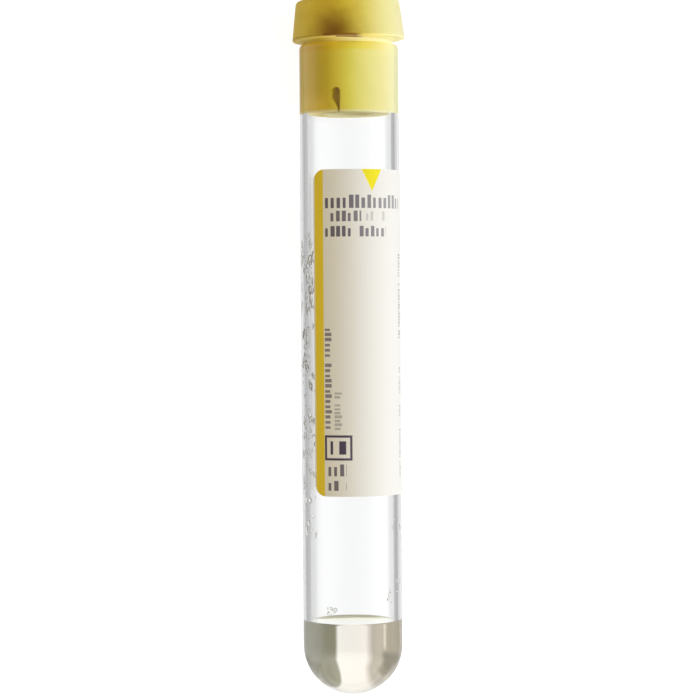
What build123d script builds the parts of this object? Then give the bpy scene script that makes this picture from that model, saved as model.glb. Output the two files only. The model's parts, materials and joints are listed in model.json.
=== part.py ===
# Evacuated blood collection tube, 16 x 100 mm class, lying on its side.
#
# A blown glass tube with a round end, closed by a moulded rubber stopper, wrapped
# in a paper label and holding a little liquid additive in its round end.
#
# Every profile is drawn in a section plane through the tube's axis: its X is the
# radius and its Y is s, the distance from the outside of the round end. The tube
# lies on its round end and on the rim of the stopper, which is wider than the
# glass, so its axis rises by a fraction of a degree towards the stopper.
#
# The origin is on the floor, below the middle of the whole part's box. +X is to
# the right, +Y runs towards the stopper and +Z is up. All sizes in millimetres.

import os
from math import asin, atan, cos, degrees, hypot, radians, sin

from build123d import *

# Glass tube
tube_radius = 7.65
tube_length = 100.0
wall = 1.2
bottom_wall = 1.45
bore_radius = tube_radius - wall
bore_floor = bottom_wall + bore_radius  # s where the bore's round floor meets its wall
mouth_chamfer = 0.35
lip = tube_length - mouth_chamfer  # s where the even wall ends

# Stopper's plug, which runs in the bore, and the hollow in its end
plug_radius = bore_radius - 0.03
plug_end = 89.3
plug_chamfer = 0.25
hollow_radius = 4.0
hollow_depth = 6.4
hollow_chamfer = 1.1

# Vent slot in the plug's side: it narrows to a groove, which runs out at the plug's end
slot_azimuth = -17.4  # from straight up, negative to the left
slot_top = 93.1
slot_width = 1.35
slot_foot = 91.5
groove_top = 90.0
groove_centre = 0.4  # to the right of the slot's middle
groove_width = 0.4
slot_depth = 1.8

# Stopper's head, pushed on a little askew, and the needle well in its top
head_under = 100.7
head_skew = 1.5  # degrees, with the right side standing off further
head_rim_radius = 8.65
head_top_radius = 8.0
head_height = 6.15
rim_chamfer = 0.2
top_chamfer = 0.4
well_radius = 4.0
well_depth = 5.2
well_chamfer = 0.4

# Paper label, which leaves a window down the left side
glue_line = 0.02
paper = 0.1
label_start = 31.0
label_height = 49.6
label_azimuth = -45.6  # of its left edge, from straight up
label_sweep = 281.0
label_corner = 2.0

# Liquid additive, a film's width off the glass
film = 0.02
liquid_radius = bore_radius - film
liquid_level = 11.0
meniscus_rise = 0.7
meniscus_reach = 1.1

# Lean of the axis: the round end is a ball and the stopper's rim a circle, and
# both touch the floor.
rim_reach = head_under + rim_chamfer - tube_radius
lean = degrees(
    atan(head_rim_radius / rim_reach) - asin(tube_radius / hypot(rim_reach, head_rim_radius))
)
head_top = head_under + head_height
overall_length = (
    tube_radius
    + (head_top - tube_radius) * cos(radians(lean))
    + (head_top_radius - top_chamfer) * sin(radians(hypot(head_skew, lean)))
)

# The section plane, and the same plane turned about the middle of the head's underside
ball_centre = (0, tube_radius - overall_length / 2, tube_radius)
section = Plane(ball_centre).rotated((lean, 0, 0))
section = section.shift_origin(section.from_local_coords((0, -tube_radius, 0)))
tube_axis = Axis(section.origin, section.y_dir)
head_section = section.shift_origin(section.from_local_coords((0, head_under, 0)))
head_section = head_section.rotated((0, 0, head_skew))
head_axis = Axis(head_section.origin, head_section.y_dir)

# Glass tube: one even wall, blown round at one end, with the mouth's sharp edges off
with BuildPart() as glass_tube:
    with BuildSketch(section):
        with BuildLine():
            outer_end = RadiusArc((0, 0), (tube_radius, tube_radius), -tube_radius)
            sides = Polyline(
                outer_end @ 1,
                (tube_radius, lip),
                (tube_radius - mouth_chamfer, tube_length),
                (bore_radius + mouth_chamfer, tube_length),
                (bore_radius, lip),
                (bore_radius, bore_floor),
            )
            inner_end = RadiusArc(sides @ 1, (0, bottom_wall), bore_radius)
            Line(inner_end @ 1, (0, 0))
        make_face()
    revolve(axis=tube_axis)

# Rubber stopper: plug, neck and head in one moulding
with BuildPart() as rubber_stopper:
    # Plug and neck, which end inside the head
    with BuildSketch(section):
        with Locations((0, plug_end)):
            Rectangle(plug_radius, head_under + 1 - plug_end, align=(Align.MIN, Align.MIN))
        chamfer(vertices().sort_by(Axis.Y)[:2].sort_by(Axis.X)[-1], plug_chamfer)
    revolve(axis=tube_axis)

    # Head: a shallow cone, widest at its rim
    with BuildSketch(head_section):
        with BuildLine():
            Polyline(
                (0, 0),
                (head_rim_radius - rim_chamfer, 0),
                (head_rim_radius, rim_chamfer),
                (head_top_radius, head_height - top_chamfer),
                (head_top_radius - top_chamfer, head_height),
                (0, head_height),
                close=True,
            )
        make_face()
    revolve(axis=head_axis)

    # Needle well in the head's top
    with BuildSketch(head_section):
        with Locations((0, head_height)):
            Rectangle(well_radius, well_depth, align=(Align.MIN, Align.MAX))
    revolve(axis=head_axis, mode=Mode.SUBTRACT)
    top_circles = edges().filter_by(GeomType.CIRCLE).group_by(head_axis)[-1]
    chamfer(top_circles.sort_by(SortBy.RADIUS)[0], well_chamfer)

    # Hollow in the plug's end
    with BuildSketch(section):
        with Locations((0, plug_end)):
            Rectangle(hollow_radius, hollow_depth, align=(Align.MIN, Align.MIN))
        chamfer(vertices().sort_by(Axis.Y)[-2:].sort_by(Axis.X)[-1], hollow_chamfer)
    revolve(axis=tube_axis, mode=Mode.SUBTRACT)

    # Vent slot, cut square to the plug's side
    slot_plane = section.rotated((0, slot_azimuth, 0)).offset(plug_radius + 0.1)
    with BuildSketch(slot_plane):
        with BuildLine():
            left, right = -slot_width / 2, slot_width / 2
            groove_left = groove_centre - groove_width / 2
            groove_right = groove_centre + groove_width / 2
            shoulder = slot_top - slot_width / 2
            crown = ThreePointArc((left, shoulder), (0, slot_top), (right, shoulder))
            Polyline(
                crown @ 1,
                (right, slot_foot),
                (groove_right, groove_top),
                (groove_right, plug_end - 1),
                (groove_left, plug_end - 1),
                (groove_left, groove_top),
                (left, slot_foot),
                crown @ 0,
            )
        make_face()
    extrude(amount=-slot_depth, mode=Mode.SUBTRACT)

# Paper label: a strip wrapped round the glass, drawn end on from its lower edge, where
# azimuths count from straight up towards the right
with BuildPart() as paper_label:
    label_foot = section.from_local_coords((0, label_start, 0))
    label_inside = tube_radius + glue_line
    with BuildSketch(Plane(label_foot, x_dir=section.z_dir, z_dir=section.y_dir)):
        with BuildLine():
            back = CenterArc((0, 0), label_inside, label_azimuth, label_sweep)
            front = CenterArc((0, 0), label_inside + paper, label_azimuth, label_sweep)
            Line(back @ 0, front @ 0)
            Line(back @ 1, front @ 1)
        make_face()
    extrude(amount=label_height)

    # Each corner is trimmed by a square cutter with a quarter circle out of it
    label_end = label_azimuth + label_sweep
    for azimuth, inward in ((label_azimuth, 1), (label_end, -1)):
        with BuildSketch(section.rotated((0, azimuth, 0)).offset(label_inside - 1)):
            for edge, upward in ((label_start, 1), (label_start + label_height, -1)):
                corner_centre = (inward * label_corner, edge + upward * label_corner)
                across = Align.MAX if inward > 0 else Align.MIN
                along = Align.MAX if upward > 0 else Align.MIN
                with Locations(corner_centre):
                    Rectangle(label_corner + 1, label_corner + 1, align=(across, along))
                    Circle(label_corner, mode=Mode.SUBTRACT)
        extrude(amount=2, mode=Mode.SUBTRACT)

# Liquid additive: it fills the round end, and creeps up the glass at its edge
with BuildPart() as additive_solution:
    with BuildSketch(section):
        with BuildLine():
            level = Line((0, liquid_level), (liquid_radius - meniscus_reach, liquid_level))
            meniscus = Line(level @ 1, (liquid_radius, liquid_level + meniscus_rise))
            side = Line(meniscus @ 1, (liquid_radius, bore_floor))
            floor = RadiusArc(side @ 1, (0, bore_floor - liquid_radius), liquid_radius)
            Line(floor @ 1, level @ 0)
        make_face()
    revolve(axis=tube_axis)

os.makedirs("parts", exist_ok=True)
pieces = {
    "glass_tube": glass_tube,
    "rubber_stopper": rubber_stopper,
    "paper_label": paper_label,
    "additive_solution": additive_solution,
}
for name, piece in pieces.items():
    piece.part.label = name
    export_step(piece.part, f"parts/{name}.step")

print(f"axis leans {lean:.3f} degrees, overall length {overall_length:.2f} mm")
print(f"liquid {additive_solution.part.volume / 1000:.2f} ml")
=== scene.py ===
import json
import random
from math import atan2, cos, exp, pi, radians, sin, sqrt

import bmesh
import bpy
from mathutils import Matrix, Vector


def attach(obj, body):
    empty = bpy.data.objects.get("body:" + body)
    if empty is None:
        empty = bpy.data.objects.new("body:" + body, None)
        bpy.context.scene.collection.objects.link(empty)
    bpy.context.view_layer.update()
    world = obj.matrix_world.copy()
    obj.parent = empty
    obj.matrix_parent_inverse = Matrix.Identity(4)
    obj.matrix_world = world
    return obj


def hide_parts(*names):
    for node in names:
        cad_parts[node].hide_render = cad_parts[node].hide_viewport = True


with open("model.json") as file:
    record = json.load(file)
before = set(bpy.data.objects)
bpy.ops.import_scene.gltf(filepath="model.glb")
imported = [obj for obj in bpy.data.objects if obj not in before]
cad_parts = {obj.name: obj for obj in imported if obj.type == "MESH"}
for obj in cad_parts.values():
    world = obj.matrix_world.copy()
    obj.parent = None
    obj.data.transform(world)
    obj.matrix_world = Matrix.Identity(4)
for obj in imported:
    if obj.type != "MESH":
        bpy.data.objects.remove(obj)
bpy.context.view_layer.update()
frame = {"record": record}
scene = bpy.context.scene

# Pieces are drawn in millimetres in the tube's own frame: x to the right, y along the tube from its
# round end, z up. The frame's place comes from the CAD's mounts.
mm = 0.001
wall = 1.2
bottomWall = 1.45
mounts = {mount["name"]: mount for mount in frame["record"]["mounts"]}
tubeMount = mounts["tube_body"]
tubeRadius = tubeMount["dims"]["r_mm"]
boreRadius = tubeRadius - wall
boreFloor = bottomWall + boreRadius  # where the bore's round floor meets its straight wall
wallEnd = tubeRadius + tubeMount["dims"]["length_mm"]
tubeAxis = -Vector(tubeMount["axis"])
roundEnd = Vector(tubeMount["pos_m"]) - tubeAxis * (tubeRadius + wallEnd) / 2 * mm
lean = atan2(tubeAxis.z, tubeAxis.y)
tubeFrame = Matrix.Translation(roundEnd) @ Matrix.Rotation(lean, 4, "X")
fromMm = tubeFrame @ Matrix.Scale(mm, 4)

headAxis = tubeFrame.to_3x3().inverted() @ Vector(mounts["needle_well"]["axis"])
headSkew = atan2(-headAxis.x, headAxis.y)

# Where the rubber or the liquid wets the glass, its surface lies this far inside the wall, so that
# no film of air shows between the two
wetDepth = 0.025
wetRadius = boreRadius + wetDepth
print("frame loaded: lean", lean, "head skew", headSkew)


# Drawing helpers

def arc(centre, radius, start, end, steps):
    turns = [radians(start + (end - start) * i / steps) for i in range(steps + 1)]
    return [(centre[0] + radius * cos(t), centre[1] + radius * sin(t)) for t in turns]


def hold(outline, reach=0.08):
    # Adds a point near each end of every long stretch, so that its smoothed normals stay true
    held = [outline[0]]
    for start, end in zip(outline, outline[1:]):
        along = Vector(end) - Vector(start)
        if along.length > 8 * reach:
            step = along.normalized() * reach
            held += [tuple(Vector(start) + step), tuple(Vector(end) - step)]
        held.append(end)
    return held


def lathe(outline, steps):
    # Turns an outline of (radius, y) points into a closed solid
    bm = bmesh.new()
    points = [bm.verts.new((radius, y, 0)) for radius, y in hold(outline)]
    edges = [bm.edges.new(pair) for pair in zip(points, points[1:])]
    bmesh.ops.spin(
        bm, geom=points + edges, cent=(0, 0, 0), axis=(0, 1, 0), angle=2 * pi, steps=steps,
        use_merge=True,
    )
    bmesh.ops.remove_doubles(bm, verts=bm.verts, dist=1e-4)
    bmesh.ops.recalc_face_normals(bm, faces=bm.faces)
    return bm


def finishPiece(name, bm, material, body, node=None, sharp=35):
    bm.transform(fromMm)
    mesh = bpy.data.meshes.new(name)
    bm.to_mesh(mesh)
    bm.free()
    mesh.materials.append(material)
    mesh.shade_smooth()
    mesh.set_sharp_from_angle(angle=radians(sharp))
    piece = bpy.data.objects.new(name, mesh)
    scene.collection.objects.link(piece)
    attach(piece, body)
    if node:
        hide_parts(node)
    print(name, len(mesh.polygons), "faces")
    return piece


def cutWith(bm, cutter):
    # Takes one closed shape out of another with an exact boolean
    objects = []
    for shape in (bm, cutter):
        mesh = bpy.data.meshes.new("cutting")
        shape.to_mesh(mesh)
        shape.free()
        objects.append(bpy.data.objects.new("cutting", mesh))
        scene.collection.objects.link(objects[-1])
    boolean = objects[0].modifiers.new("cut", "BOOLEAN")
    boolean.operation = "DIFFERENCE"
    boolean.solver = "EXACT"
    boolean.object = objects[1]
    depsgraph = bpy.context.evaluated_depsgraph_get()
    result = bmesh.new()
    result.from_mesh(objects[0].evaluated_get(depsgraph).to_mesh())
    for item in objects:
        bpy.data.objects.remove(item)
    return result


# Node helpers

def addNode(tree, kind, settings=None, **inputs):
    node = tree.nodes.new("ShaderNode" + kind)
    for name, value in (settings or {}).items():
        setattr(node, name, value)
    for key, value in inputs.items():
        socket = node.inputs[int(key[1:])] if key[0] == "_" else node.inputs[key.replace("_", " ")]
        if isinstance(value, bpy.types.NodeSocket):
            tree.links.new(value, socket)
        else:
            socket.default_value = value
    return node


def math(tree, operation, *values, clamp=False):
    inputs = {f"_{i}": value for i, value in enumerate(values)}
    return addNode(tree, "Math", {"operation": operation, "use_clamp": clamp}, **inputs).outputs[0]


def product(tree, *values):
    result = values[0]
    for value in values[1:]:
        result = math(tree, "MULTIPLY", result, value)
    return result


def mixColor(tree, factor, first, second, blend="MIX"):
    settings = {"data_type": "RGBA", "blend_type": blend}
    return addNode(tree, "Mix", settings, _0=factor, _6=first, _7=second).outputs[2]


def mixValue(tree, factor, first, second):
    return addNode(tree, "Mix", {"data_type": "FLOAT"}, _0=factor, _2=first, _3=second).outputs[0]


def ramp(tree, value, stops):
    # stops are (position, colour) from left to right
    node = addNode(tree, "ValToRGB", None, Fac=value)
    elements = node.color_ramp.elements
    elements[0].position, elements[1].position = stops[0][0], stops[-1][0]
    elements[0].color, elements[1].color = (*stops[0][1], 1), (*stops[-1][1], 1)
    for position, color in stops[1:-1]:
        elements.new(position).color = (*color, 1)
    return node.outputs[0]


def stretch(tree, value, start, end, first, last):
    # Goes evenly from first to last as the value goes from start to end, and no further
    return addNode(
        tree, "MapRange", None, Value=value, From_Min=start, From_Max=end, To_Min=first, To_Max=last
    ).outputs[0]


def rise(tree, value, nothing, full):
    # 0 on one side of a stretch and 1 on the other
    return stretch(tree, value, nothing, full, 0.0, 1.0)


def band(tree, value, low, high, soft):
    # 1 from low to high, fading out over a soft edge on both sides
    return math(tree, "MULTIPLY", rise(tree, value, low - soft, low), rise(tree, value, high + soft, high))


def tubePlace(tree):
    # Object coordinates turned into the tube's own millimetres: x, y along the tube, z
    mapping = addNode(
        tree, "Mapping", {"vector_type": "POINT"}, Vector=addNode(tree, "TexCoord").outputs["Object"],
        Location=fromMm.inverted().to_translation(), Rotation=(-lean, 0, 0), Scale=(1 / mm, 1 / mm, 1 / mm),
    )
    return mapping.outputs[0]


def separate(tree, place):
    return addNode(tree, "SeparateXYZ", None, Vector=place).outputs


def newMaterial(name):
    material = bpy.data.materials.new(name)
    material.use_nodes = True
    tree = material.node_tree
    tree.nodes.clear()
    output = tree.nodes.new("ShaderNodeOutputMaterial")
    return material, tree, output


def newGroup(name, inputs, outputs):
    # Sockets are given by name and kind. Returns the group, what it is given and what it puts out.
    group = bpy.data.node_groups.new(name, "ShaderNodeTree")
    for way, sockets in (("INPUT", inputs), ("OUTPUT", outputs)):
        for socket, kind in sockets.items():
            group.interface.new_socket(socket, in_out=way, socket_type="NodeSocket" + kind)
    return group, group.nodes.new("NodeGroupInput").outputs, group.nodes.new("NodeGroupOutput").inputs


def bentRays(tree, path):
    # 1 for what is seen through or in the glass
    return math(tree, "MAXIMUM", path.outputs["Is Transmission Ray"], path.outputs["Is Glossy Ray"])


def grey(value):
    return (value, value, value)


# Clear materials

glassLook = {
    "color": (0.99, 0.995, 0.993), "metallic": 0.0, "roughness": 0.0, "ior": 1.5, "shadow": grey(0.96),
    "waveScale": 60.0, "waveStrength": 0.05, "waveHeight": 0.0002,
}
liquidLook = {
    "color": (0.985, 0.975, 0.93), "metallic": 0.0, "roughness": 0.0, "ior": 1.34,
    "shadow": (0.98, 0.97, 0.93), "waveScale": 90.0, "waveStrength": 0.02, "waveHeight": 0.0002,
}
# The liquid's surface is met at a glancing angle, and mirrors what is bright around it. Towards the
# tube's lower side its mirror colour is a warmer painted reflection, between the two heights.
surfaceLook = {
    "color": (1.0, 0.985, 0.92), "lowColor": (1.0, 0.95, 0.70), "lowTo": -4.5, "highFrom": -0.5,
    "metallic": 0.94, "roughness": 0.04, "ior": 1.34, "shadow": (0.98, 0.97, 0.93),
    "waveScale": 90.0, "waveStrength": 0.02, "waveHeight": 0.0002,
}


def makeWaves():
    # The faint unevenness that every clear surface has
    group, given, put = newGroup("clearWaves", {"scale": "Float"}, {"waves": "Float"})
    place = addNode(group, "TexCoord").outputs["Object"]
    noise = addNode(group, "TexNoise", None, Vector=place, Scale=given["scale"], Detail=2.0)
    group.links.new(noise.outputs["Fac"], put["waves"])
    return group


def makeClear(name, look, waveGroup):
    # Refracts what the eye sees through it, and lets lamp light and bounced light straight through
    material, tree, output = newMaterial(name)
    color = (*look["color"], 1)
    # A painted warmer reflection on the lower side of the liquid's surface
    if "lowColor" in look:
        z = separate(tree, tubePlace(tree))[2]
        color = mixColor(tree, rise(tree, z, look["lowTo"], look["highFrom"]), (*look["lowColor"], 1), color)
    waves = addNode(tree, "Group", {"node_tree": waveGroup}, scale=look["waveScale"]).outputs["waves"]
    bump = addNode(
        tree, "Bump", None, Strength=look["waveStrength"], Distance=look["waveHeight"], Height=waves
    )
    surface = addNode(
        tree, "BsdfPrincipled", None, Base_Color=color, Metallic=look["metallic"],
        Roughness=look["roughness"], IOR=look["ior"], Transmission_Weight=1.0, Normal=bump.outputs[0],
    )
    through = addNode(tree, "BsdfTransparent", None, Color=(*look["shadow"], 1))
    path = addNode(tree, "LightPath")
    straight = math(tree, "MAXIMUM", path.outputs["Is Shadow Ray"], path.outputs["Is Diffuse Ray"])
    both = addNode(tree, "MixShader", None, _0=straight, _1=surface.outputs[0], _2=through.outputs[0])
    tree.links.new(both.outputs[0], output.inputs["Surface"])
    return material


clearWaves = makeWaves()
clearGlass = makeClear("clearGlass", glassLook, clearWaves)
clearSolution = makeClear("clearSolution", liquidLook, clearWaves)
surfaceSkin = makeClear("surfaceSkin", surfaceLook, clearWaves)


# Glass tube

glassSize = {"steps": 192, "length": 100.0, "ballSteps": 32, "lipSteps": 14}


def buildGlass(size):
    lipRadius = wall / 2
    lipCentre = (boreRadius + lipRadius, size["length"] - lipRadius)
    outline = arc((0, tubeRadius), tubeRadius, -90, 0, size["ballSteps"])
    outline += arc(lipCentre, lipRadius, 0, 180, size["lipSteps"])
    outline += arc((0, boreFloor), boreRadius, 0, -90, size["ballSteps"])
    return finishPiece(
        "glassTube", lathe(outline, size["steps"]), clearGlass, "tube", "glass_tube"
    )


buildGlass(glassSize)


# Rubber stopper

stopperSize = {
    "steps": 192, "plugEnd": 89.3, "plugRounding": 0.2, "hollowRadius": 4.0, "hollowTop": 95.7,
    "hollowRounding": 1.1, "neckRounding": 0.6, "headUnder": 100.7, "rimRadius": 8.65,
    "rimRounding": 0.25, "topRadius": 8.0, "headTop": 106.85, "topRounding": 0.6, "wellRadius": 4.0,
    "wellRounding": 0.4, "wellFloor": 101.65, "wellFloorRounding": 0.3,
}
slotSize = {
    "azimuth": -17.4, "top": 93.1, "width": 1.35, "foot": 91.5, "grooveTop": 90.0, "grooveCentre": 0.4,
    "grooveWidth": 0.4, "grooveEnd": 88.0, "depth": 1.8, "innerRadius": 4.1, "outerRadius": 6.4,
}
# Colours run across the stopper from x = -8 to x = 8 mm, with painted shade on the left and a painted
# pale sheen on the right. The plug, seen through the glass, has its own painted light and shade. A pair
# says where an effect begins and where it is full; three numbers are a band's two ends and its soft
# edge, all in millimetres.
rubberLook = {
    "head": [
        (0.0, (0.93, 0.72, 0.095)), (0.1, (0.97, 0.755, 0.077)), (0.16, (0.97, 0.735, 0.067)),
        (0.21, (0.96, 0.71, 0.06)), (0.29, (0.91, 0.64, 0.05)), (0.43, (0.91, 0.685, 0.052)),
        (0.5, (0.935, 0.72, 0.072)), (0.58, (0.90, 0.71, 0.105)), (0.65, (0.91, 0.775, 0.15)),
        (0.74, (0.95, 0.82, 0.26)), (0.83, (0.957, 0.874, 0.36)), (0.91, (0.97, 0.90, 0.42)),
        (1.0, (0.97, 0.90, 0.51)),
    ],
    "plug": [
        (0.1, (0.86, 0.64, 0.045)), (0.17, (0.80, 0.57, 0.015)), (0.21, (0.74, 0.53, 0.012)),
        (0.25, (0.73, 0.535, 0.012)), (0.3, (0.76, 0.56, 0.02)), (0.37, (0.885, 0.70, 0.053)),
        (0.43, (0.92, 0.77, 0.077)), (0.5, (0.97, 0.87, 0.12)), (0.57, (0.97, 0.885, 0.20)),
        (0.64, (0.97, 0.885, 0.246)), (0.72, (0.93, 0.86, 0.286)), (0.79, (0.955, 0.86, 0.34)),
        (0.84, (0.97, 0.90, 0.42)), (0.9, (0.97, 0.95, 0.52)),
    ],
    # Painted light on the plug's left end, the neck, the underside, the plug's end and its hollow; painted
    # shade on the underside's left, under the lip, on the head's face, along the rim and in the slot
    "plugY": (99.9, 99.3), "paintedEndLightX": (-2.4, -3.6), "paintedEndLightY": (92.8, 90.6), "paintedEndLightShare": 0.8,
    "paintedLight": (0.97, 0.93, 0.62), "paintedLightX": (-4.5, 0.5), "paintedLightShare": 0.5, "neckFrom": 99.9, "soft": 0.15,
    "paintedUnderShadeX": (-1.0, -4.6), "paintedUnderShadeShare": 0.38, "endShare": 0.6, "hollowRadius": (4.3, 4.1),
    "hollowY": (97.0, 96.0), "lipShade": (1.0, 0.93, 0.4), "lipShadeX": (5.5, 2.5), "lipShadeY": (98.95, 99.6, 0.25),
    "paintedShadeColor": (0.28, 0.17, 0.07), "shadePatchX": -2.1, "shadePatchY": 101.2, "shadePatchWidth": 3.3,
    "shadePatchHeight": 3.4, "rimShadeX": (-3.6, 1.0, 1.6), "rimShadeRise": (-0.05, 0.3), "shadeFrom": 100.6,
    "shade": (0.84, 0.67, 0.0), "slotRadius": (4.3, 6.36, 0.06), "slotY": (90.1, 93.3, 0.3),
    "warpScale": 0.6, "cloudScale": 0.35, "cloudDark": 0.96, "grainScale": 2.5, "grainStrength": 0.12,
    "grainHeight": 0.0001, "roughness": 0.6,
}


def darken(tree, mask, color, paintedShade):
    return mixColor(tree, mask, color, mixColor(tree, 1.0, color, (*paintedShade, 1), "MULTIPLY"))


def paintedShadeMask(tree, look, size, place, x, height):
    # Painted shade: a brown patch on the head's face, and a dark line along the rim below it
    warp = addNode(tree, "TexNoise", None, Vector=place, Scale=look["warpScale"], Detail=3.0).outputs["Fac"]
    across = math(tree, "DIVIDE", math(tree, "SUBTRACT", x, look["shadePatchX"]), look["shadePatchWidth"])
    up = math(tree, "DIVIDE", math(tree, "SUBTRACT", height, look["shadePatchY"]), look["shadePatchHeight"])
    away = math(tree, "ADD", product(tree, across, across), product(tree, up, up))
    away = product(tree, away, math(tree, "ADD", warp, 0.5))
    shadePatch = math(tree, "EXPONENT", product(tree, away, -1.0))
    low, high = [size["headUnder"] + offset for offset in look["rimShadeRise"]]
    rimShade = product(tree, band(tree, height, low, high, look["soft"]), band(tree, x, *look["rimShadeX"]))
    return math(tree, "MAXIMUM", shadePatch, rimShade)


def makeRubberTone(look, size):
    # The rubber's colour with its painted light and shade, and its fine grain, from a place in the tube's own
    # millimetres
    group, given, put = newGroup("rubberTone", {"place": "Vector"}, {"color": "Color", "grain": "Float"})
    place = given["place"]
    x, y, z = separate(group, place)
    radius = math(group, "SQRT", math(group, "ADD", product(group, x, x), product(group, z, z)))
    height = math(group, "MULTIPLY_ADD", x, headSkew, y)  # measured square to the head's rim
    share = math(group, "MULTIPLY_ADD", x, 1 / 16, 0.5)
    paintedLight = (*look["paintedLight"], 1)

    # Painted shade on the left and a painted pale sheen on the right, for the head and for the plug
    head, plug = ramp(group, share, look["head"]), ramp(group, share, look["plug"])
    # Painted light: near its end the plug's left side takes the head's paler colours
    paintedEndLight = product(group, rise(group, y, *look["paintedEndLightY"]), rise(group, x, *look["paintedEndLightX"]))
    plug = mixColor(group, product(group, paintedEndLight, look["paintedEndLightShare"]), plug, head)
    color = mixColor(group, rise(group, y, *look["plugY"]), head, plug)

    # Painted light on the neck and the head's underside, with painted shade on the underside's left, then
    # painted light on the plug's end and the top of its hollow
    under = band(group, height, look["neckFrom"], size["headUnder"] - 0.02, look["soft"])
    pale = product(group, under, rise(group, x, *look["paintedLightX"]), look["paintedLightShare"])
    color = mixColor(group, pale, color, paintedLight)
    paintedUnderShade = product(group, under, rise(group, x, *look["paintedUnderShadeX"]), look["paintedUnderShadeShare"])
    color = mixColor(group, paintedUnderShade, color, (0, 0, 0, 1))
    end = band(group, y, size["plugEnd"] - 1, size["plugEnd"] + 0.3, look["soft"])
    hollow = product(group, rise(group, radius, *look["hollowRadius"]), rise(group, y, *look["hollowY"]))
    end = math(group, "MAXIMUM", product(group, end, look["endShare"]), hollow)
    color = mixColor(group, end, color, paintedLight)

    # Painted shade: a richer ring just under the glass's lip, a brown patch on the head's face with a dark
    # line along its rim, and the vent slot's recess
    lipShade = product(group, band(group, y, *look["lipShadeY"]), rise(group, x, *look["lipShadeX"]))
    color = darken(group, lipShade, color, look["lipShade"])
    # Painted shade on the head's face and along its rim
    above = math(group, "GREATER_THAN", height, look["shadeFrom"])
    face = product(group, math(group, "GREATER_THAN", z, 0.0), above)
    paintedShade = product(group, paintedShadeMask(group, look, size, place, x, height), face)
    color = darken(group, paintedShade, color, look["paintedShadeColor"])
    # Painted shade in the vent slot's recess
    deep = product(group, band(group, radius, *look["slotRadius"]), band(group, y, *look["slotY"]))
    color = mixColor(group, deep, color, (*look["shade"], 1))

    cloud = addNode(group, "TexNoise", None, Vector=place, Scale=look["cloudScale"], Detail=4.0)
    tint = ramp(group, cloud.outputs["Fac"], [(0.3, grey(look["cloudDark"])), (0.7, grey(1.0))])
    grain = addNode(group, "TexNoise", None, Vector=place, Scale=look["grainScale"], Detail=3.0)
    group.links.new(mixColor(group, 1.0, color, tint, "MULTIPLY"), put["color"])
    group.links.new(grain.outputs["Fac"], put["grain"])
    return group


def makeRubber(name, tone, look, specular, sheen):
    material, tree, output = newMaterial(name)
    toned = addNode(tree, "Group", {"node_tree": tone}, place=tubePlace(tree)).outputs
    bump = addNode(
        tree, "Bump", None, Strength=look["grainStrength"], Distance=look["grainHeight"],
        Height=toned["grain"],
    )
    surface = addNode(
        tree, "BsdfPrincipled", None, Base_Color=toned["color"], Roughness=look["roughness"],
        Specular_IOR_Level=specular, Sheen_Weight=sheen, Sheen_Roughness=0.5, Normal=bump.outputs[0],
    )
    tree.links.new(surface.outputs[0], output.inputs["Surface"])
    return material


def slotCutter(size):
    # A round-topped slot that narrows to a groove, stood square on the plug's side
    half, foot = size["width"] / 2, size["foot"]
    left, right = [size["grooveCentre"] + side * size["grooveWidth"] / 2 for side in (-1, 1)]
    outline = arc((0, size["top"] - half), half, 0, 180, 16)
    outline += [(-half, foot), (left, size["grooveTop"]), (left, size["grooveEnd"])]
    outline += [(right, size["grooveEnd"]), (right, size["grooveTop"]), (half, foot)]
    bm = bmesh.new()
    face = bm.faces.new([bm.verts.new((x, y, wetRadius - size["depth"])) for x, y in outline])
    top = bmesh.ops.extrude_face_region(bm, geom=[face])["geom"]
    moved = [item for item in top if isinstance(item, bmesh.types.BMVert)]
    bmesh.ops.translate(bm, verts=moved, vec=(0, 0, size["depth"] + 1))
    bmesh.ops.recalc_face_normals(bm, faces=bm.faces)
    turn = Matrix.Rotation(radians(size["azimuth"]), 3, "Y")
    bmesh.ops.rotate(bm, verts=bm.verts, cent=(0, 0, 0), matrix=turn)
    return bm


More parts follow.
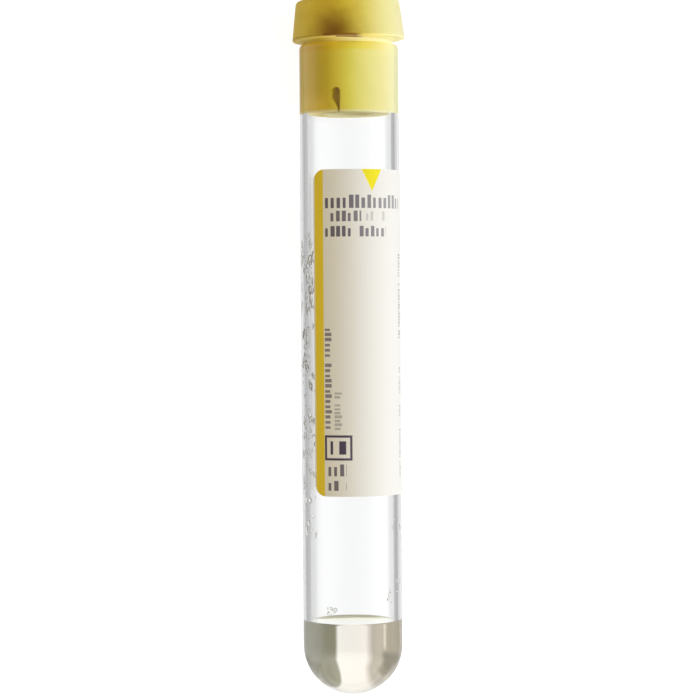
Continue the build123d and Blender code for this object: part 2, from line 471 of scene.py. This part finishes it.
def buildStopper(size, slot, skin, cutEnd):
    plug, hollow, under = size["plugRounding"], size["hollowRounding"], size["headUnder"]
    neck, rim, top = size["neckRounding"], size["rimRounding"], size["topRounding"]
    outline = [(0, size["hollowTop"])]
    outline += arc((size["hollowRadius"] - hollow, size["hollowTop"] - hollow), hollow, 90, 0, 8)
    outline += arc((size["hollowRadius"] + plug, size["plugEnd"] + plug), plug, 180, 270, 4)
    outline += arc((wetRadius - plug, size["plugEnd"] + plug), plug, -90, 0, 6)
    outline += arc((wetRadius + neck, under - neck), neck, 180, 90, 6)
    outline += arc((size["rimRadius"] - rim, under + rim), rim, -90, 0, 8)
    outline += arc((size["topRadius"] - top, size["headTop"] - top), top, 6, 90, 10)
    well = size["wellRounding"]
    outline += arc((size["wellRadius"] + well, size["headTop"] - well), well, 90, 180, 8)
    floor = size["wellFloorRounding"]
    outline += arc((size["wellRadius"] - floor, size["wellFloor"] + floor), floor, 0, -90, 5)
    outline += [(0, size["wellFloor"])]
    bm = cutWith(lathe(outline, size["steps"]), slotCutter(slot))
    bmesh.ops.remove_doubles(bm, verts=bm.verts, dist=1e-4)
    # The head sits a little askew on its neck
    head = [vert for vert in bm.verts if vert.co.y > under - 0.01 * neck]
    bmesh.ops.rotate(bm, verts=head, cent=(0, under, 0), matrix=Matrix.Rotation(headSkew, 3, "Z"))
    # The plug's end and the slot's walls take the second material
    for face in bm.faces:
        middle = face.calc_center_median()
        reach = sqrt(middle.x ** 2 + middle.z ** 2)
        inSlot = slot["innerRadius"] < reach < slot["outerRadius"] and middle.y < slot["top"] + 0.1
        face.material_index = int(middle.y < size["plugEnd"] + plug / 2 or inSlot)
    piece = finishPiece("rubberStopper", bm, skin, "stopper", "rubber_stopper")
    piece.data.materials.append(cutEnd)
    return piece


rubberTone = makeRubberTone(rubberLook, stopperSize)
yellowRubber = makeRubber("yellowRubber", rubberTone, rubberLook, specular=0.35, sheen=0.15)
# The plug's end and its slot have no shine
dullRubber = makeRubber("dullRubber", rubberTone, rubberLook, specular=0.0, sheen=0.0)
buildStopper(stopperSize, slotSize, yellowRubber, dullRubber)


# Paper label

labelSize = {
    "start": 31.0, "height": 49.6, "azimuth": -45.6, "sweep": 281.0, "corner": 2.0, "gap": 0.02,
    "paper": 0.1, "cuts": 120,
}
# Rows of blocks stand for the print, and columns are rows that run along the tube. Each is its start,
# end, low edge, high edge, pitch and strength, in millimetres from the label's left edge and from the
# tube's round end.
printRows = [
    (2.25, 15.8, 74.7, 76.7, 0.95, 0.9), (2.25, 7.9, 72.7, 74.3, 0.9, 0.85),
    (8.7, 13.2, 72.8, 74.2, 0.7, 0.35), (2.25, 12.2, 70.4, 72.0, 0.9, 0.9),
    (2.5, 5.4, 34.1, 35.9, 0.95, 0.85), (2.5, 5.4, 31.9, 33.4, 0.95, 0.85),
]
printColumns = [
    (41.3, 56.8, 2.05, 3.15, 0.78, 0.75), (41.1, 46.8, 3.6, 4.75, 0.6, 0.45),
    (33.5, 41.0, 15.7, 16.4, 0.45, 0.6), (43.0, 44.6, 15.7, 16.4, 0.45, 0.6),
    (46.5, 50.5, 15.7, 16.4, 0.45, 0.6), (54.0, 67.8, 15.6, 16.4, 0.45, 0.75),
]
printStyle = {
    "narrowest": 0.45, "wider": 0.3, "gapShare": 0.1, "lowShare": 0.55, "lowHeight": 0.78, "seedStep": 3.7,
}
paperLook = {
    "paper": ((0.91, 0.895, 0.87), (0.94, 0.925, 0.90)), "roughness": 0.5, "specular": 0.3,
    "fibreScale": 3.0, "fibreStrength": 0.1, "fibreHeight": 0.00005, "ink": (0.045, 0.026, 0.08),
    "stripe": (0.94, 0.72, 0.045), "stripeFrom": 0.3, "stripeTo": 1.85, "arrow": (0.98, 0.86, 0.01),
    "arrowMiddle": 9.67, "arrowHalf": 1.7, "arrowDepth": 3.4, "inkX": (5.0, 15.0), "inkShare": (0.95, 0.6),
    "markOuter": (1.95, 6.3, 36.5, 40.3), "markInner": (2.3, 5.95, 36.85, 39.95),
    "markBars": [(2.9, 3.3, 37.4, 39.4), (4.3, 5.35, 37.4, 39.4)],
}


def makePrintRow(style):
    # The mask of one row of uneven blocks, with a gap left here and there
    names = ("along", "across", "start", "end", "low", "high", "pitch", "strength")
    group, given, put = newGroup("printRow", {name: "Float" for name in names}, {"ink": "Float"})
    cells = math(group, "DIVIDE", math(group, "SUBTRACT", given["along"], given["start"]), given["pitch"])
    seed = math(group, "ADD", math(group, "FLOOR", cells), product(group, given["low"], style["seedStep"]))
    chance = addNode(group, "TexWhiteNoise", {"noise_dimensions": "1D"}, W=seed)
    first, second, _ = separate(group, chance.outputs["Color"])
    wide = math(group, "MULTIPLY_ADD", chance.outputs["Value"], style["wider"], style["narrowest"])
    block = math(group, "LESS_THAN", math(group, "FRACT", cells), wide)
    kept = math(group, "GREATER_THAN", second, style["gapShare"])
    isTall = math(group, "GREATER_THAN", first, style["lowShare"])
    tall = math(group, "MULTIPLY_ADD", isTall, 1 - style["lowHeight"], style["lowHeight"])
    rowHeight = math(group, "SUBTRACT", given["high"], given["low"])
    top = math(group, "MULTIPLY_ADD", rowHeight, tall, given["low"])
    ink = product(group, block, kept, given["strength"])
    for value, low, high in (("along", given["start"], given["end"]), ("across", given["low"], top)):
        above = math(group, "GREATER_THAN", given[value], low)
        ink = product(group, ink, above, math(group, "LESS_THAN", given[value], high))
    group.links.new(ink, put["ink"])
    return group


def rectangle(tree, across, along, sides, soft=0.02):
    left, right, low, high = sides
    return product(tree, band(tree, across, left, right, soft), band(tree, along, low, high, soft))


def makePaper(look, size):
    material, tree, output = newMaterial("labelPaper")
    place = addNode(tree, "UVMap", {"uv_map": "flat"}).outputs[0]
    across, along, _ = separate(tree, place)
    fibre = addNode(tree, "TexNoise", None, Vector=place, Scale=look["fibreScale"], Detail=5.0).outputs["Fac"]
    color = ramp(tree, fibre, [(0.3, look["paper"][0]), (0.7, look["paper"][1])])

    stripe = band(tree, across, look["stripeFrom"], look["stripeTo"], 0.05)
    color = mixColor(tree, stripe, color, (*look["stripe"], 1))

    # A fill arrow at the label's top edge, pointing down the tube
    depth = math(tree, "SUBTRACT", size["start"] + size["height"], along)
    slope = look["arrowHalf"] / look["arrowDepth"]
    wide = math(tree, "MULTIPLY_ADD", depth, -slope, look["arrowHalf"])
    aside = math(tree, "ABSOLUTE", math(tree, "SUBTRACT", across, look["arrowMiddle"]))
    arrow = rise(tree, math(tree, "SUBTRACT", wide, aside), -0.05, 0.1)
    color = mixColor(tree, arrow, color, (*look["arrow"], 1))

    rowGroup = makePrintRow(printStyle)
    ink = None
    for rows, first, second in ((printRows, across, along), (printColumns, along, across)):
        for start, end, low, high, pitch, strength in rows:
            row = addNode(
                tree, "Group", {"node_tree": rowGroup}, along=first, across=second, start=start, end=end,
                low=low, high=high, pitch=pitch, strength=strength,
            ).outputs[0]
            ink = row if ink is None else math(tree, "MAXIMUM", ink, row)

    # A generic mark: a frame with two bars in it
    outer = rectangle(tree, across, along, look["markOuter"])
    inner = rectangle(tree, across, along, look["markInner"])
    ink = math(tree, "MAXIMUM", ink, math(tree, "SUBTRACT", outer, inner))
    for sides in look["markBars"]:
        ink = math(tree, "MAXIMUM", ink, rectangle(tree, across, along, sides))
    # The ink is fainter towards the right
    (inkFrom, inkTo), (left, right) = look["inkX"], look["inkShare"]
    fade = stretch(tree, across, inkFrom, inkTo, left, right)
    color = mixColor(tree, product(tree, ink, fade), color, (*look["ink"], 1))

    bump = addNode(
        tree, "Bump", None, Strength=look["fibreStrength"], Distance=look["fibreHeight"], Height=fibre
    )
    surface = addNode(
        tree, "BsdfPrincipled", None, Base_Color=color, Roughness=look["roughness"],
        Specular_IOR_Level=look["specular"], Normal=bump.outputs[0],
    )
    tree.links.new(surface.outputs[0], output.inputs["Surface"])
    return material


def buildLabel(size, material):
    radius = tubeRadius + size["gap"]
    width = radians(size["sweep"]) * (radius + size["paper"])
    bm = bmesh.new()
    corners = [(0, 0), (width, 0), (width, size["height"]), (0, size["height"])]
    bm.faces.new([bm.verts.new((x, size["start"] + y, 0)) for x, y in corners])
    bmesh.ops.bevel(
        bm, geom=bm.verts[:], affect="VERTICES", offset=size["corner"], segments=12, profile=0.5,
        material=-1,
    )
    # Cut across into strips, so that it can be wrapped
    for cut in range(1, size["cuts"]):
        everything = bm.verts[:] + bm.edges[:] + bm.faces[:]
        bmesh.ops.bisect_plane(
            bm, geom=everything, plane_co=(width * cut / size["cuts"], 0, 0), plane_no=(1, 0, 0), dist=1e-5
        )
    flat = bm.loops.layers.uv.new("flat")
    for face in bm.faces:
        for loop in face.loops:
            loop[flat].uv = loop.vert.co.xy
    for vert in bm.verts:
        azimuth = radians(size["azimuth"]) + vert.co.x / (radius + size["paper"])
        vert.co = (radius * sin(azimuth), vert.co.y, radius * cos(azimuth))
    bmesh.ops.recalc_face_normals(bm, faces=bm.faces)
    bmesh.ops.solidify(bm, geom=bm.faces[:], thickness=-size["paper"])
    bmesh.ops.triangulate(bm, faces=[face for face in bm.faces if len(face.verts) > 4])
    return finishPiece("paperLabel", bm, material, "tube", "paper_label")


buildLabel(labelSize, makePaper(paperLook, labelSize))


# Liquid additive

liquidSize = {"steps": 160, "rings": 40, "ballSteps": 32, "level": 11.0, "rise": 0.5, "spread": 1.3}


def buildLiquid(size, skin):
    # The surface curls up the glass, more steeply the nearer it gets
    outline = [(0, size["level"])]
    for ring in range(1, size["rings"] + 1):
        radius = wetRadius * sqrt(ring / size["rings"])
        curl = exp((radius - wetRadius) / size["spread"])
        outline.append((radius, size["level"] + size["rise"] * curl))
    outline += arc((0, boreFloor), wetRadius, 0, -90, size["ballSteps"])
    bm = lathe(outline, size["steps"])
    # Only the free surface takes the second material
    for face in bm.faces:
        isHigh = face.calc_center_median().y > size["level"] - 0.01
        face.material_index = int(isHigh and face.normal.y > 0.1)
    piece = finishPiece(
        "additiveSolution", bm, clearSolution, "tube", "additive_solution"
    )
    piece.data.materials.append(skin)
    return piece


buildLiquid(liquidSize, surfaceSkin)


# Droplets of the liquid that cling to the bore, most of them in the label's window. Each patch is its
# count, its azimuths, its stretch of the tube, and its droplets' least and greatest radius.
dropletPatches = [
    (150, (-88, -52), (30, 71), (0.10, 0.42)), (12, (-75, -50), (24, 28), (0.12, 0.35)),
    (6, (-35, -15), (12.5, 14.5), (0.12, 0.3)), (5, (48, 62), (14, 16.5), (0.1, 0.3)),
    (8, (60, 85), (16, 28), (0.1, 0.25)),
]
dropletShape = {"length": (1, 2.6), "height": (0.3, 0.5), "turn": (-0.5, 0.5), "seed": 4}


def buildDroplets(patches, shape):
    chance = random.Random(shape["seed"])
    bm = bmesh.new()
    for count, azimuths, ys, radii in patches:
        for _ in range(count):
            # Small ones are commoner, and most are drawn out along the tube
            radius = radii[0] + (radii[1] - radii[0]) * chance.random() ** 2
            drop = bmesh.ops.create_icosphere(bm, subdivisions=2, radius=1.0)["verts"]
            length = radius * chance.uniform(*shape["length"])
            height = radius * chance.uniform(*shape["height"])
            bmesh.ops.scale(bm, verts=drop, vec=(radius, length, height))
            turned = Matrix.Rotation(chance.uniform(*shape["turn"]), 3, "Z")
            bmesh.ops.rotate(bm, verts=drop, cent=(0, 0, 0), matrix=turned)
            bmesh.ops.translate(bm, verts=drop, vec=(0, chance.uniform(*ys), 0))
            azimuth = radians(chance.uniform(*azimuths))
            # Bent on to the bore, with the side that meets the glass pressed flat
            for vert in drop:
                turn = azimuth + vert.co.x / boreRadius
                reach = boreRadius + min(vert.co.z, wetDepth)
                vert.co = (reach * sin(turn), vert.co.y, reach * cos(turn))
    bmesh.ops.recalc_face_normals(bm, faces=bm.faces)
    return finishPiece("droplets", bm, clearSolution, "tube", sharp=60)


buildDroplets(dropletPatches, dropletShape)


# Floor, light and camera

floorLook = {"color": (0.8, 0.8, 0.8), "glow": (0.72, 0.75, 0.84), "half": 2.0, "drop": 0.00002}
# What shows through the liquid: a painted caustic on the floor just under it, with painted shade that is
# olive on the left and beige on the right, and painted light focused between. Its colours run from
# x = -4 to x = 4 mm, sides are shares of that, and y counts from the middle of the ball. Three numbers
# are a band's two ends and its soft edge.
paintedCausticLook = {
    "colors": [
        (0.0, (0.03, 0.03, 0.015)), (0.12, (0.11, 0.10, 0.05)), (0.2, (0.19, 0.18, 0.105)),
        (0.32, (0.26, 0.245, 0.16)), (0.35, (1.05, 1.02, 0.98)), (0.63, (1.07, 1.0, 0.95)),
        (0.67, (0.74, 0.66, 0.59)), (0.70, (0.50, 0.44, 0.36)), (0.77, (0.55, 0.48, 0.38)),
        (0.80, (0.47, 0.40, 0.29)), (0.83, (0.40, 0.34, 0.23)), (1.0, (0.48, 0.43, 0.34)),
    ],
    "x": (-4.0, 4.0, 0.5), "y": (-4.1, 3.2, 0.2),
    "narrowY": (-3.9, -2.3), "narrowLeft": 0.5, "narrowRight": 0.8,
    "highlightStreak": (0.82, 0.73, 0.60), "highlightStreakSides": (0.795, 0.8, 0.012), "highlightStreakY": (-1.8, -0.8),
    "shadeSpot": (0.13, 0.11, 0.04), "shadeSpotSides": (0.79, 0.85, 0.03), "shadeSpotY": (-3.2, -1.9, 0.4),
    "shadeSpotShare": 0.75,
}


def paintedCausticTone(tree, look):
    # The painted caustic's colour, and the mask of where it lies
    x, y, _ = separate(tree, tubePlace(tree))
    y = math(tree, "SUBTRACT", y, tubeRadius)
    # The light narrows towards the round end, and less on the right
    narrow = stretch(tree, y, *look["narrowY"], look["narrowLeft"], 1.0)
    onRight = product(tree, math(tree, "GREATER_THAN", x, 0.0), look["narrowRight"])
    narrow = math(tree, "MAXIMUM", narrow, onRight)
    side = math(tree, "MULTIPLY_ADD", math(tree, "DIVIDE", x, narrow), 1 / 8, 0.5)
    color = ramp(tree, side, look["colors"])
    # On the right a painted highlight streak near the level, and a painted shade spot towards the end
    highlightStreak = product(tree, band(tree, side, *look["highlightStreakSides"]), rise(tree, y, *look["highlightStreakY"]))
    color = mixColor(tree, highlightStreak, color, (*look["highlightStreak"], 1))
    shadeSpot = product(tree, band(tree, side, *look["shadeSpotSides"]), band(tree, y, *look["shadeSpotY"]))
    color = mixColor(tree, product(tree, shadeSpot, look["shadeSpotShare"]), color, (*look["shadeSpot"], 1))
    return color, product(tree, band(tree, x, *look["x"]), band(tree, y, *look["y"]))


def buildFloor(look, caustic):
    material, tree, output = newMaterial("whiteFloor")
    path = addNode(tree, "LightPath")
    # White to the eye, with the object's soft shadow left on it
    diffuse = addNode(tree, "BsdfDiffuse", None, Color=(*look["color"], 1))
    glow = addNode(tree, "Emission", None, Color=(*look["glow"], 1), Strength=1.0)
    shown = addNode(tree, "AddShader", None, _0=diffuse.outputs[0], _1=glow.outputs[0])
    seen = addNode(
        tree, "MixShader", None, _0=path.outputs["Is Camera Ray"], _1=diffuse.outputs[0], _2=shown.outputs[0]
    )

    # To rays bent by the glass it glows with the painted caustic, and lets them through beside it
    causticColor, nearCaustic = paintedCausticTone(tree, caustic)
    clear = addNode(tree, "BsdfTransparent")
    causticGlow = addNode(tree, "Emission", None, Color=causticColor, Strength=1.0)
    under = addNode(tree, "MixShader", None, _0=nearCaustic, _1=clear.outputs[0], _2=causticGlow.outputs[0])
    both = addNode(
        tree, "MixShader", None, _0=bentRays(tree, path), _1=seen.outputs[0], _2=under.outputs[0]
    )
    tree.links.new(both.outputs[0], output.inputs["Surface"])

    bm = bmesh.new()
    bmesh.ops.create_grid(bm, x_segments=1, y_segments=1, size=look["half"])
    bmesh.ops.translate(bm, verts=bm.verts, vec=(0, 0, -look["drop"]))
    mesh = bpy.data.meshes.new("floor")
    bm.to_mesh(mesh)
    bm.free()
    mesh.materials.append(material)
    floor = bpy.data.objects.new("floor", mesh)
    scene.collection.objects.link(floor)
    print("floor laid")


# Grey cards to both sides below the tube draw its edges in the glass, and a dim ceiling with one
# soft bright patch on the right is what it reflects. Each stop is an angle from straight down, as a
# share of 180 degrees.
worldLook = {
    "ambient": (0.336, 0.277, 0.145),
    "left": [
        (0.0, grey(1.06)), (0.044, grey(1.05)), (0.056, grey(0.96)), (0.083, grey(0.8)), (0.122, grey(0.62)),
        (0.167, grey(0.40)), (0.25, grey(0.48)), (0.28, grey(0.55)), (0.31, grey(1)), (0.5, grey(1)),
        (0.6, grey(0.4)), (0.7, grey(0.2)), (1.0, grey(0.25)),
    ],
    "right": [
        (0.0, grey(1.06)), (0.06, grey(1.06)), (0.09, grey(0.92)), (0.111, grey(0.8)), (0.142, grey(0.7)),
        (0.17, grey(0.62)), (0.195, grey(0.4)), (0.215, grey(0.33)), (0.24, grey(0.4)), (0.267, grey(0.5)),
        (0.29, grey(0.55)), (0.31, grey(1)), (0.5, grey(1)), (0.64, grey(1.2)),
        (0.8, grey(0.6)), (1.0, grey(0.25)),
    ],
    "bendFrom": 0.35, "cardsTo": 0.3, "whiteFrom": 0.45,
}


def buildWorld(look):
    world = bpy.data.worlds.new("studio")
    scene.world = world
    world.use_nodes = True
    tree = world.node_tree
    tree.nodes.clear()
    output = tree.nodes.new("ShaderNodeOutputWorld")
    # x, y and z are the ray's own direction. The round end bends rays up the tube's way, and for those
    # the cards bend round to meet. Rays that leave the other way find plain white.
    x, y, z = separate(tree, addNode(tree, "TexCoord").outputs["Generated"])
    out = math(tree, "SQRT", math(tree, "SUBTRACT", 1.0, product(tree, z, z)), clamp=True)
    isBent = math(tree, "GREATER_THAN", y, look["bendFrom"])
    outward = mixValue(tree, isBent, math(tree, "ABSOLUTE", x), out)
    share = math(tree, "DIVIDE", math(tree, "ARCTAN2", outward, product(tree, z, -1.0)), pi)
    isRight = math(tree, "GREATER_THAN", x, 0.0)
    cards = mixColor(tree, isRight, ramp(tree, share, look["left"]), ramp(tree, share, look["right"]))
    plain = rise(tree, product(tree, y, -1.0), look["cardsTo"], look["whiteFrom"])
    refracted = mixColor(tree, plain, cards, (1, 1, 1, 1))
    path = addNode(tree, "LightPath")
    color = mixColor(tree, bentRays(tree, path), (*look["ambient"], 1), refracted)
    color = mixColor(tree, path.outputs["Is Camera Ray"], color, (1, 1, 1, 1))
    background = addNode(tree, "Background", None, Color=color, Strength=1.0)
    tree.links.new(background.outputs[0], output.inputs["Surface"])


# Directions point from the tube to the lamp
lampLooks = {
    "keyLight": {
        "to": (0.94, 0, 0.342), "away": 0.4, "size": (0.3, 1.2), "power": 3.2, "color": (0.81, 0.88, 1.0),
    },
    "warmFill": {
        "to": (-0.985, 0, 0.174), "away": 0.4, "size": (0.2, 0.8), "power": 0.3, "color": (1.0, 0.82, 0.55),
    },
    "endLight": {
        "to": (0, -0.995, 0.1), "away": 0.4, "size": (0.3, 0.07), "power": 1.0, "color": (1.0, 0.97, 0.9),
    },
}


def addSoftbox(name, look):
    light = bpy.data.lights.new(name, "AREA")
    light.shape = "RECTANGLE"
    light.size, light.size_y = look["size"]
    light.energy = look["power"]
    light.color = look["color"]
    lamp = bpy.data.objects.new(name, light)
    back = Vector(look["to"]).normalized()
    lamp.location = back * look["away"]
    lamp.rotation_euler = (-back).to_track_quat("-Z", "Y").to_euler()
    # Reflections come from the soft world, without the lamps' hard outlines
    lamp.visible_camera = lamp.visible_glossy = lamp.visible_transmission = False
    scene.collection.objects.link(lamp)


cameraSetup = {"over": 59.9, "height": 400.0, "target": 53.1, "aside": -0.14, "roll": 0.42, "lens": 133.4}


def buildCamera(setup):
    camera = bpy.data.objects.new("camera", bpy.data.cameras.new("camera"))
    scene.collection.objects.link(camera)
    scene.camera = camera
    camera.data.sensor_width = 36
    camera.data.lens = setup["lens"]
    place = fromMm @ Vector((setup["aside"], setup["over"], setup["height"]))
    target = fromMm @ Vector((setup["aside"], setup["target"], 0))
    back = (place - target).normalized()
    up = tubeFrame.to_3x3() @ Vector((sin(radians(setup["roll"])), cos(radians(setup["roll"])), 0))
    right = up.cross(back).normalized()
    turned = Matrix((right, back.cross(right), back)).transposed()
    camera.matrix_world = Matrix.Translation(place) @ turned.to_4x4()


buildFloor(floorLook, paintedCausticLook)
buildWorld(worldLook)
for lampName, lampLook in lampLooks.items():
    addSoftbox(lampName, lampLook)
buildCamera(cameraSetup)
print("lit by", ", ".join(lampLooks))
scene.view_settings.view_transform = "Standard"
